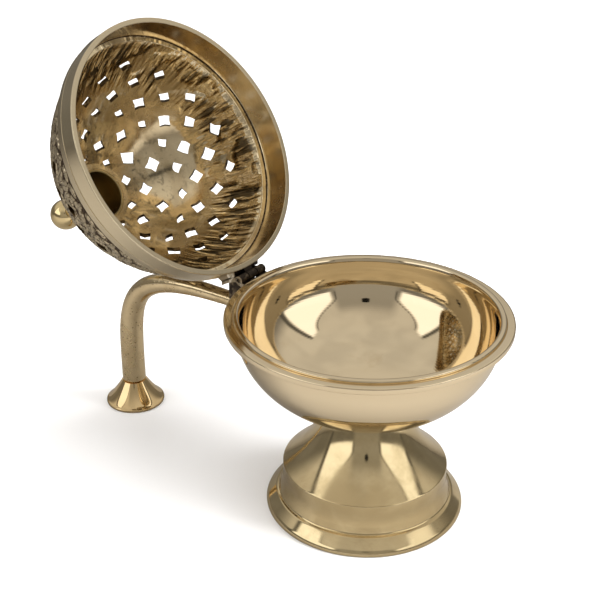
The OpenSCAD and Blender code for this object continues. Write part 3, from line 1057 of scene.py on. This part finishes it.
@dataclass
class Lid:
    """The pierced dome, its plain bands, the finial cup and the knob."""

    place: Frame
    shape: DomeShape = field(default_factory=DomeShape)
    wall: float = 2.0
    band_h: float = 6.0
    band2_h: float = 3.0
    groove: float = 0.5
    inner_h: float = 11.0
    columns: int = 512
    relief: float = 0.45
    seat_w: float = 3.2
    turn: float = math.radians(5.6)
    rings: tuple = (PierceRing(24, 16, 0, 5.5, 0.9), PierceRing(30, 16, 0.5, 5.8, 1.0),
                    PierceRing(36, 16, 0, 6.1, 1.0), PierceRing(41, 16, 0.5, 4.8, 0.7),
                    PierceRing(46.5, 8, 0, 5.6, 1.25), PierceRing(51, 8, 0.5, 6.0, 0.9),
                    PierceRing(55.2, 8, 0, 4.4, 0.8))
    engraved: EngravedBrass = EngravedBrass(
        "lid_engraved", bright=(0.66, 0.56, 0.39), dull=(0.5, 0.4, 0.26), smooth=0.3, rough=0.55)
    inner: ChatterBrass = ChatterBrass(
        "lid_inside", bright=(0.84, 0.7, 0.46), dull=(0.42, 0.3, 0.15), smooth=0.12, rough=0.3,
        rings=900.0, ring_depth=5e-6, haze=0.6)
    # Painted shade: the inside of the finial cup is coloured dark.
    shaded_cup_inside: PolishedBrass = PolishedBrass(
        "cup_inside", bright=(0.3, 0.23, 0.11), dull=(0.14, 0.1, 0.05), smooth=0.3, rough=0.45,
        ring_depth=4e-6, haze=0.7)
    polished: PolishedBrass = PolishedBrass(
        "knob_brass", bright=(0.84, 0.68, 0.38))

    @property
    def lid_z(self) -> float:
        """Height of the closed lid's edge."""
        return self.place.hinge[2] - 0.3

    def finish_axis(self) -> dict:
        """Where the lid's own axis lies when it is open."""
        return {"centre": self.place.axis_point(), "tilt": -self.place.open_angle}

    def _distance_to_piercing(self, turn: np.ndarray, along: np.ndarray,
                              r: np.ndarray) -> np.ndarray:
        """Distance in the wall's surface from each point to the nearest piercing's edge.

        A piercing is a kite: |x| / a + |y| / b = 1, where b differs above and below.

        Args:
            turn: Angle round the axis.
            along: Length along the wall from the edge.
            r: Radius there.

        Returns:
            The distance, negative inside a piercing.
        """
        best = np.full(np.broadcast(turn, along).shape, 99.0)
        for ring in self.rings:
            pitch = 2 * np.pi / ring.count
            centre = self._length_at(ring.h)
            near = (turn - self.turn - ring.turn * pitch + pitch / 2) % pitch - pitch / 2
            x, y = near * r, along - centre
            a, low = ring.size / 2, ring.size / 2
            b = np.where(y > 0, low * ring.upper, low)
            d = (np.abs(x) / a + np.abs(y) / b - 1) * a * b / np.hypot(a, b)
            best = np.minimum(best, d)
        return best

    def _length_at(self, h: float) -> float:
        """Length along the outer wall from the lid's edge to height h."""
        levels = np.linspace(0, h, 200)
        r = self.shape.radius(levels)
        return float(np.hypot(np.diff(levels), np.diff(r)).sum())

    def _leaves(self, turn: np.ndarray, along: np.ndarray, r: np.ndarray) -> np.ndarray:
        """Height of the engraved leaves, from 0 in the ground to 1 on top.

        A leaf is a lens: |y| = b (1 - (x / a)^2) along its own axis. Its outline and its
        middle stand up, and a vein is cut along it. Each ring of piercings carries its own
        set, which repeats round the dome and shrinks with it.

        Args:
            turn: Angle round the axis.
            along: Length along the wall from the edge.
            r: Radius there.

        Returns:
            The height.
        """
        top = np.zeros(np.broadcast(turn, along).shape)
        sets = {
            "lower": ((0.0, -8.6, 90, 2.7, 1.1), (0.2, -6.3, 40, 3.9, 1.4),
                      (0.36, -10.3, 5, 2.9, 1.1), (0.5, -5.2, 90, 3.2, 1.4),
                      (0.3, -1.4, 118, 3.5, 1.3), (0.5, 1.3, 90, 2.4, 1.0)),
            "upper": ((0.27, -1.8, 58, 3.0, 1.05), (0.3, 1.9, 122, 2.7, 1.0),
                      (0.5, -0.2, 90, 2.2, 0.9)),
        }
        for k, ring in enumerate(self.rings):
            pitch = 2 * np.pi / min(ring.count, 16)
            centre = self._length_at(ring.h)
            width = pitch * float(self.shape.radius(ring.h))
            scale = min(1.0, width / 17)
            near = (turn - self.turn - ring.turn * pitch + pitch / 2) % pitch - pitch / 2
            for share, rise, angle, half, wide in sets["lower" if k == 0 else "upper"]:
                for side in (-1, 1):
                    x = near * r - side * share * width
                    x = x - np.round(x / (pitch * r)) * pitch * r
                    y = along - centre - rise * scale
                    c, s = math.cos(math.radians(angle)), side * math.sin(math.radians(angle))
                    lx, ly = x * c + y * s, -x * s + y * c
                    a, b = half * scale, wide * scale
                    lens = np.abs(ly) - b * (1 - (lx / a) ** 2)
                    inside = np.clip(-lens / 0.25, 0, 1) * 0.62
                    rim = np.clip(1.3 - np.abs(lens + 0.2) / 0.3, 0, 1)
                    vein = 0.5 * np.clip(1 - np.abs(ly) / 0.22, 0, 1) * (np.abs(lx) < 0.7 * a)
                    top = np.maximum(top, np.maximum(inside, rim) - vein * (lens < 0))
        return top

    def _relief(self, turn: np.ndarray, along: np.ndarray, r: np.ndarray) -> np.ndarray:
        """Height of all raised work, from 0 to 1: leaves, stems and piercing borders."""
        top = self._leaves(turn, along, r)
        for k, ring in enumerate(self.rings[:5]):
            wave = np.sin((turn - self.turn) * ring.count + k * np.pi)
            stem = along - self._length_at(ring.h) + 3.6 - 0.9 * wave
            top = np.maximum(top, np.clip(1.4 - np.abs(stem) / 0.3, 0, 1))
        d = self._distance_to_piercing(turn, along, r)
        top = np.where(d < 1.7, 0.0, top)
        border = np.clip(1.5 - np.abs(d - 0.6) / 0.45, 0, 1)
        ends = (along - self._length_at(self.band_h + self.band2_h + 1)) / 0.8
        return np.where(ends < 0.6, np.clip(1 - ends, 0, 1), np.maximum(top, border))

    def _cutters(self) -> bpy.types.Object:
        """All the piercings as one object of prisms that pass through the wall.

        Each is a kite that the file left a little uneven, drawn in the plane that touches
        the wall and made long enough to pass right through it.

        Returns:
            The unlinked object, in the open pose.
        """
        rng = np.random.default_rng(SEED)
        points, faces = [], []
        for ring in self.rings:
            tilt = float(self.shape.tilt(ring.h))
            r = float(self.shape.radius(ring.h, self.wall))
            out = np.array([math.cos(tilt), 0, math.sin(tilt)])
            up = np.array([-math.sin(tilt), 0, math.cos(tilt)])
            for i in range(ring.count):
                k = np.arange(8)
                reach = np.where(k % 2 == 1, 0.34, 0.5) * (1 + 0.09 * rng.standard_normal(8))
                reach[2] *= ring.upper
                a = np.pi / 4 * k + 0.09 * rng.standard_normal()
                size = ring.size * (1 + 0.05 * rng.standard_normal())
                flat = size * reach[:, None] * (np.cos(a)[:, None] * np.array([0, 1, 0])
                                                + np.sin(a)[:, None] * up)
                base = np.array([r, 0, ring.h]) + flat
                loops = np.vstack([base - 3.2 * out, base + 3.6 * out])
                turn = np.pi - self.turn - 2 * np.pi * (i + ring.turn) / ring.count
                c, s = math.cos(turn), math.sin(turn)
                x, y, z = loops.T
                n = len(points) * 16
                points.append(np.column_stack([x * c - y * s, x * s + y * c, z + self.lid_z]))
                side = np.column_stack([k, (k + 1) % 8, (k + 1) % 8 + 8, k + 8]) + n
                faces += side.tolist() + [(k[::-1] + n).tolist(), (k + 8 + n).tolist()]
        moved = self.place.opened(Surface(np.vstack(points), NO_FACES))
        return bpy.data.objects.new("piercings", new_mesh("piercings", moved.points, faces))

    def _field(self) -> bpy.types.Object:
        """The engraved and pierced part of the dome, as one closed wall."""
        start = self.band_h + self.band2_h + 2 * self.groove
        levels = np.concatenate([np.linspace(start, self.shape.cone_h, 80)[:-1],
                                 np.linspace(self.shape.cone_h, self.shape.seat_h, 32)])
        inner_top = self.shape.seat_h - 1.8
        back = np.linspace(inner_top, self.inner_h, 64)
        t = np.linspace(0, 2 * np.pi, self.columns, endpoint=False)[None, :]
        h, b = levels[:, None], back[:, None]
        along = np.array([self._length_at(v) for v in levels])[:, None]
        r_out = self.shape.radius(h)
        height = self._relief(t, along, r_out)
        sink = (1 - height) * self.relief
        tilt = self.shape.tilt(h)
        r1 = r_out - sink * np.cos(tilt)
        z1 = h - sink * np.sin(tilt)
        ripple = 0.06 * np.sin(b * 3.4) * np.clip((27 - b) / 6, 0, 1)
        r2 = self.shape.radius(b, self.wall) + ripple + 0 * t
        z2 = b + 0 * t
        seat_r, foot_r = self.shape.seat_r - self.seat_w, float(r_out[0, 0]) - self.relief
        stretches = ((r1, z1), (seat_r, self.shape.seat_h), (seat_r, inner_top), (r2, z2),
                     (foot_r - 0.6, self.inner_h), (foot_r, start))
        points = np.concatenate([np.stack([(r + 0 * t) * np.cos(t), (r + 0 * t) * np.sin(t),
                                           z + 0 * t + 0 * r], -1) for r, z in stretches])
        points[..., 0] *= -1
        points[..., 2] += self.lid_z
        surface = self.place.opened(grid(points, True, True))
        whole = write_mesh("lid_field", surface, 180.0)
        cutters = self._cutters()
        cut = whole.modifiers.new("pierce", "BOOLEAN")
        cut.operation, cut.solver, cut.object = "DIFFERENCE", "MANIFOLD", cutters
        bpy.context.scene.collection.objects.link(cutters)
        graph = bpy.context.evaluated_depsgraph_get()
        mesh = bpy.data.meshes.new_from_object(whole.evaluated_get(graph))
        for spare in (whole, cutters):
            bpy.data.objects.remove(spare)
        mesh.name = "lid_pierced"
        return link("lid_pierced", mesh, 32.0)

    def _mark(self, piece: bpy.types.Object) -> None:
        """Writes the recess attribute and sorts the faces into outside, walls and inside."""
        mesh = piece.data
        r, h = self._closed(rows_of(mesh.vertices, "co") / MM)
        tilt = self.shape.tilt(np.clip(h, 0, None))
        depth = (self.shape.radius(h) - r) * np.cos(tilt)
        mesh.attributes.new("recess", "FLOAT", "POINT").data.foreach_set(
            "value", np.clip(depth / self.relief, 0, 1).astype(np.float32))
        centre = rows_of(mesh.polygons, "center") / MM
        tip = self._closed(centre + rows_of(mesh.polygons, "normal"))
        base = self._closed(centre)
        tilt = self.shape.tilt(np.clip(base[1], 0, None))
        outward = (tip[0] - base[0]) * np.cos(tilt) + (tip[1] - base[1]) * np.sin(tilt)
        depth = (self.shape.radius(base[1]) - base[0]) * np.cos(tilt)
        inside, cut, sideways = depth > 1.0, depth > 0.25, np.abs(outward) < 0.6
        kind = np.where(sideways & cut, 2, np.where(inside, 1, 0))
        mesh.polygons.foreach_set("material_index", kind.astype(np.int32))

    def _closed(self, points: np.ndarray) -> tuple:
        """Radius and height on the closed lid of points in the open pose."""
        p = points - np.array(self.place.hinge)
        c, s = math.cos(self.place.open_angle), math.sin(self.place.open_angle)
        x = p[:, 0] * c + p[:, 2] * s + self.place.hinge[0]
        z = -p[:, 0] * s + p[:, 2] * c + self.place.hinge[2]
        return np.hypot(x, p[:, 1]), z - self.lid_z

    def _bands(self) -> bpy.types.Object:
        """The plain bands round the edge, with the grooves between them and the inner ledge."""
        r, h2 = self.shape.edge_r, self.band_h + self.groove + self.band2_h
        start = h2 + self.groove
        field_r = float(self.shape.radius(start))
        inner_r = 47.3
        shape = outline(
            corner(inner_r, 0, 0.2), corner(r - 0.1, 0, 0.35), corner(r, self.band_h, 0.25),
            corner(r - self.groove, self.band_h + 0.1, 0.15),
            corner(r - self.groove, self.band_h + self.groove - 0.1, 0.15),
            corner(r - 0.2, self.band_h + self.groove, 0.25), corner(r - 0.6, h2, 0.3),
            corner(field_r - 0.4, start - 0.15, 0.1), corner(field_r - 0.7, start + 0.5),
            corner(inner_r - 0.9, self.inner_h + 0.4), corner(inner_r - 2.6, self.inner_h + 0.4),
            corner(inner_r - 2.6, self.inner_h - 0.2, 0.3),
            corner(inner_r - 0.5, self.inner_h - 0.3, 0.5))
        surface = turned(shape, 320).moved(z=self.lid_z)
        return write_mesh("lid_bands", self.place.opened(surface))

    def build(self) -> list:
        """Makes the lid's pieces.

        Returns:
            The dome, the bands, the cup and the knob.
        """
        axis = self.finish_axis()
        dome = self._field()
        outside = self.engraved.make(**axis)
        inside = self.inner.make(**axis)
        dress(dome, outside, Slot.ENGRAVED, Body.LID, "lid_dome")
        dome.data.materials.append(inside)
        dome.data.materials.append(AgedBrass("pierced_edges", bright=(0.3, 0.2, 0.09),
                                             dull=(0.05, 0.03, 0.012), smooth=0.3,
                                             rough=0.5).make())
        self._mark(dome)
        bands = self._bands()
        plain = PolishedBrass("lid_bands", bright=(0.7, 0.6, 0.42), dull=(0.5, 0.4, 0.25),
                              smooth=0.22, rough=0.34)
        dress(bands, plain.make(**axis), Slot.ENGRAVED, Body.LID, "lid_dome")
        self._split(bands, inside, 47.35, 0.1, 99)
        cup, knob = self._finial()
        repaint("knob_nut", self.inner.make(**axis))
        return [dome, bands, cup, knob]

    def _split(self, piece: bpy.types.Object, material: bpy.types.Material, r_max: float,
               h_min: float, h_max: float) -> None:
        """Gives a second finish to the faces near the lid's axis.

        Args:
            piece: The piece, which has one finish already.
            material: The second finish.
            r_max: Faces nearer the axis than this get it.
            h_min: Lowest of those faces, above the piece's own base.
            h_max: Highest of them.
        """
        mesh = piece.data
        mesh.materials.append(material)
        r, h = self._closed(rows_of(mesh.polygons, "center") / MM)
        h = h - (self.shape.seat_h if h.min() > self.shape.cone_h else 0)
        kind = ((r < r_max) & (h > h_min) & (h < h_max)).astype(np.int32)
        mesh.polygons.foreach_set("material_index", kind)

    def _finial(self) -> list:
        """The hollow cup on the dome's top, and the ball knob on its stem."""
        seat, base = self.shape.seat_r, self.lid_z + self.shape.seat_h
        cup_h, ceiling, mouth = 11.0, 9.0, seat - self.seat_w - 0.1
        cup = outline(
            corner(mouth, -1.8, 0.2), corner(mouth, 0, 0.1), corner(seat + 0.2, 0, 0.4),
            corner(seat + 0.2, 1.6, 0.7), corner(seat - 1.4, 1.8, 0.3),
            arc((3.6, 1.8), (seat - 5.4, cup_h - 2), 8, 82, 24),
            corner(4.4, cup_h, 0.2), corner(2.1, cup_h), corner(2.1, ceiling),
            corner(4.6, ceiling, 0.4),
            arc((4.6, 0.5), (mouth - 1.1 - 4.6, ceiling - 0.5), 72, 5, 20),
            corner(mouth - 1.1, -1.8, 0.3))
        cup_piece = write_mesh("finial_cup_turned",
                               self.place.opened(turned(cup, 160).moved(z=base)))
        dress(cup_piece, self.polished.make(**self.finish_axis()), Slot.POLISHED, Body.LID,
              "finial_cup")
        # The cup's inside faces take the dark finish, which is painted shade.
        self._split(cup_piece, self.shaded_cup_inside.make(**self.finish_axis()), mouth - 0.4, -3,
                    ceiling + 0.2)
        ball_z, ball_r, stem = 24.5, 6.3, 2.9
        low = math.asin((stem + 0.1) / ball_r)
        knob = outline(
            corner(0, ceiling - 3.2), corner(2.0, ceiling - 3.2), corner(2.0, cup_h),
            corner(stem + 1.5, cup_h, 0.2), corner(stem + 1.5, cup_h + 1, 0.5),
            corner(stem + 0.5, cup_h + 1.6, 0.3), corner(stem, cup_h + 3, 1),
            arc((0, ball_z), (ball_r, ball_r), math.degrees(low) - 90, 90, 60))
        knob_piece = write_mesh("knob_turned",
                                self.place.opened(turned(knob, 128).moved(z=base)))
        dress(knob_piece, self.polished.make(**self.finish_axis()), Slot.POLISHED, Body.LID,
              "knob")
        return [cup_piece, knob_piece]


# ---------------------------------------------------------------- fasteners under the foot


@dataclass
class Fasteners:
    """The stud, washer and nut inside the pedestal, kept from the frame."""

    finish: PolishedBrass = PolishedBrass(
        "fastener_brass", bright=(0.7, 0.52, 0.27), smooth=0.2, rough=0.4, haze=0.7)

    def build(self) -> None:
        """Gives each one its finish."""
        material = self.finish.make()
        for node in ("pedestal_stud", "pedestal_washer", "pedestal_nut"):
            repaint(node, material)


# ---------------------------------------------------------------- studio and camera


@dataclass
class Studio:
    """A white table, soft panels and the camera."""

    azimuth: float = math.radians(36.93)
    elevation: float = math.radians(26.47)
    distance: float = 0.4144
    aim: tuple = (-0.0189, -0.0142, 0.08305)
    lens: float = 73.0
    lens_rise: float = 0.55
    low_light: float = 0.2
    high_light: float = 0.64
    gap_light: float = 0.36
    panel_light: float = 1.45

    def floor(self) -> None:
        """A wide floor: white to look at, and a soft grey where metal mirrors it, with painted
        shade that darkens the grey on the side away from the camera.
        """
        mesh = bpy.data.meshes.new("floor")
        side = 6.0
        mesh.from_pydata([(-side, -side, 0), (side, -side, 0), (side, side, 0), (-side, side, 0)],
                         [], [(0, 1, 2, 3)])
        floor = bpy.data.objects.new("floor", mesh)
        bpy.context.scene.collection.objects.link(floor)
        material = bpy.data.materials.new("white_floor")
        material.use_nodes = True
        t = Tree(material.node_tree)
        shader = material.node_tree.nodes["Principled BSDF"]
        seen = t.node("LightPath").outputs["Is Camera Ray"]
        turned_place = t.node("Mapping", Vector=t.node("TexCoord").outputs["Object"],
                              Rotation=(0, 0, -self.azimuth)).outputs[0]
        ahead = t.times(t.node("SeparateXYZ", Vector=turned_place).outputs[1], -1.0)
        # Painted shade: the mirrored grey turns darker on the floor's side away from the camera.
        mirrored = t.blend(t.ramp(ahead, -0.28, 0.1), (0.15, 0.14, 0.13), (0.36, 0.345, 0.325))
        colour = t.blend(seen, mirrored, (0.86, 0.86, 0.87))
        t.tree.links.new(colour, shader.inputs["Base Color"])
        away = t.node("VectorMath", {"operation": "LENGTH"}, i0=turned_place).outputs["Value"]
        t.tree.links.new(t.times(t.ramp(away, 0.5, 2.0, 0.0, 0.95), seen),
                         shader.inputs["Emission Strength"])
        shader.inputs["Emission Color"].default_value = (1, 1, 1, 1)
        shader.inputs["Roughness"].default_value = 0.9
        shader.inputs["Specular IOR Level"].default_value = 0.0
        mesh.materials.append(material)

    def panel(self, name: str, place: tuple, size: tuple, power: float) -> None:
        """A rectangular area light that faces the burner and isn't itself mirrored.

        Args:
            name: Its name.
            place: Its position in metres.
            size: Width and height in metres.
            power: Power in watts.
        """
        data = bpy.data.lights.new(name, "AREA")
        data.shape, data.size, data.size_y, data.energy = "RECTANGLE", size[0], size[1], power
        lamp = bpy.data.objects.new(name, data)
        bpy.context.scene.collection.objects.link(lamp)
        lamp.visible_glossy = False
        aim = np.array([0, 0, 0.06]) - np.array(place)
        lamp.location = place
        lamp.rotation_euler = self._towards(aim)

    @staticmethod
    def _towards(direction: np.ndarray) -> tuple:
        """Rotation that points an object's own -Z along direction with its own Y upwards."""
        x, y, z = direction / np.linalg.norm(direction)
        return (math.acos(np.clip(-z, -1, 1)), 0.0, math.atan2(y, x) - math.pi / 2)

    def world(self) -> None:
        """A cloth tent: two bright panels beside the lens, seams, a grey roof and walls.

        The pattern depends on the direction only: side is its angle from the lens round
        the vertical and rise its angle above the floor.
        """
        world = bpy.data.worlds.new("tent")
        world.use_nodes = True
        t = Tree(world.node_tree)
        out = world.node_tree.nodes["Background"]
        view = t.node("TexCoord").outputs["Generated"]
        view = t.node("Mapping", Vector=view, Rotation=(0, 0, -self.azimuth)).outputs[0]
        x, y, z = t.node("SeparateXYZ", Vector=view).outputs
        side = t.math("ABSOLUTE", t.math("ARCTAN2", x, t.times(y, -1.0)))
        rise = t.math("ARCSINE", z)
        fold = t.node("TexNoise", Vector=t.node("Mapping", Vector=view,
                                                Scale=(1.0, 1.0, 0.3)).outputs[0],
                      Scale=3.0, Detail=1.0, Distortion=0.4).outputs[0]

        def between(value: Socket, low: float, high: float,
                    soft: float = 0.03) -> Socket:
            """A mask that is 1 between low and high, with soft edges."""
            return t.times(t.ramp(value, low - soft, low + soft),
                           t.ramp(value, high - soft, high + soft, 1.0, 0.0))

        edge = t.ramp(rise, 0.42, 0.95, 0.55, 1.3)
        past_edge = t.math("SUBTRACT", side, edge)
        height = between(rise, 0.24, 0.9)
        panels = t.times(t.times(t.ramp(past_edge, 0.0, 0.08), between(side, -1.0, 1.5)), height)
        seams = t.times(between(past_edge, -0.05, -0.02, 0.015), height)
        far = t.times(between(side, 1.52, 1.6), between(rise, -0.05, 0.9))
        gap = t.times(between(side, -1.0, 0.55, 0.1), between(rise, 0.0, 0.75, 0.15))
        level = t.ramp(rise, 0.25, 0.55, self.low_light, self.high_light)
        level = t.times(level, t.ramp(fold, 0.3, 0.7, 0.92, 1.08))
        for mask, value in ((gap, self.gap_light), (panels, self.panel_light),
                            (seams, 0.12), (far, 0.1)):
            step = t.math("SUBTRACT", value, level)
            level = t.math("ADD", level, t.times(mask, step))
        lens = (0.0, -math.cos(self.lens_rise), math.sin(self.lens_rise))
        near = t.node("VectorMath", {"operation": "DOT_PRODUCT"}, i0=view,
                      i1=lens).outputs[1]
        level = t.times(level, t.ramp(near, 0.9975, 0.9985, 1.0, 0.02))
        seen = t.node("LightPath").outputs["Is Camera Ray"]
        warm = t.blend(panels, (1.0, 0.95, 0.87), (1.0, 0.99, 0.97))
        world.node_tree.links.new(t.blend(seen, warm, (1.0, 1.0, 1.0)), out.inputs[0])
        lit = t.math("ADD", t.times(level, t.math("SUBTRACT", 1.0, seen)), seen)
        world.node_tree.links.new(lit, out.inputs[1])
        bpy.context.scene.world = world

    def camera(self) -> None:
        """The camera, at its azimuth, elevation and distance from the aim."""
        data = bpy.data.cameras.new("camera")
        data.lens, data.sensor_width = self.lens, 36.0
        data.clip_start, data.clip_end = 0.01, 30.0
        camera = bpy.data.objects.new("camera", data)
        bpy.context.scene.collection.objects.link(camera)
        back = np.array([math.sin(self.azimuth) * math.cos(self.elevation),
                         -math.cos(self.azimuth) * math.cos(self.elevation),
                         math.sin(self.elevation)])
        camera.location = np.array(self.aim) + self.distance * back
        camera.rotation_euler = (math.pi / 2 - self.elevation, 0.0, self.azimuth)
        bpy.context.scene.camera = camera

    def build(self) -> None:
        """Sets up everything around the burner."""
        self.camera()
        self.floor()
        self.world()
        self.panel("left_panel", (-0.7, -0.9, 0.9), (0.9, 0.9), 6)
        self.panel("right_panel", (0.9, 0.4, 0.7), (0.5, 0.5), 16)
        self.panel("top_panel", (0.1, 0.1, 1.3), (1.2, 1.2), 20)
        bpy.context.scene.view_settings.view_transform = "Standard"


def main() -> None:
    """Builds the studio and every sub-assembly in order."""
    logging.basicConfig(level=logging.INFO, format="%(name)s: %(message)s")
    Studio().build()
    place = Frame.read()
    made = [Bowl().build(), Pedestal().build(), *Handle().build(), *Hinge(place).build(),
            *Lid(place).build()]
    Fasteners().build()
    for piece in made:
        log.info("%s: %d faces", piece.name, len(piece.data.polygons))


if __name__ == "__main__":
    main()
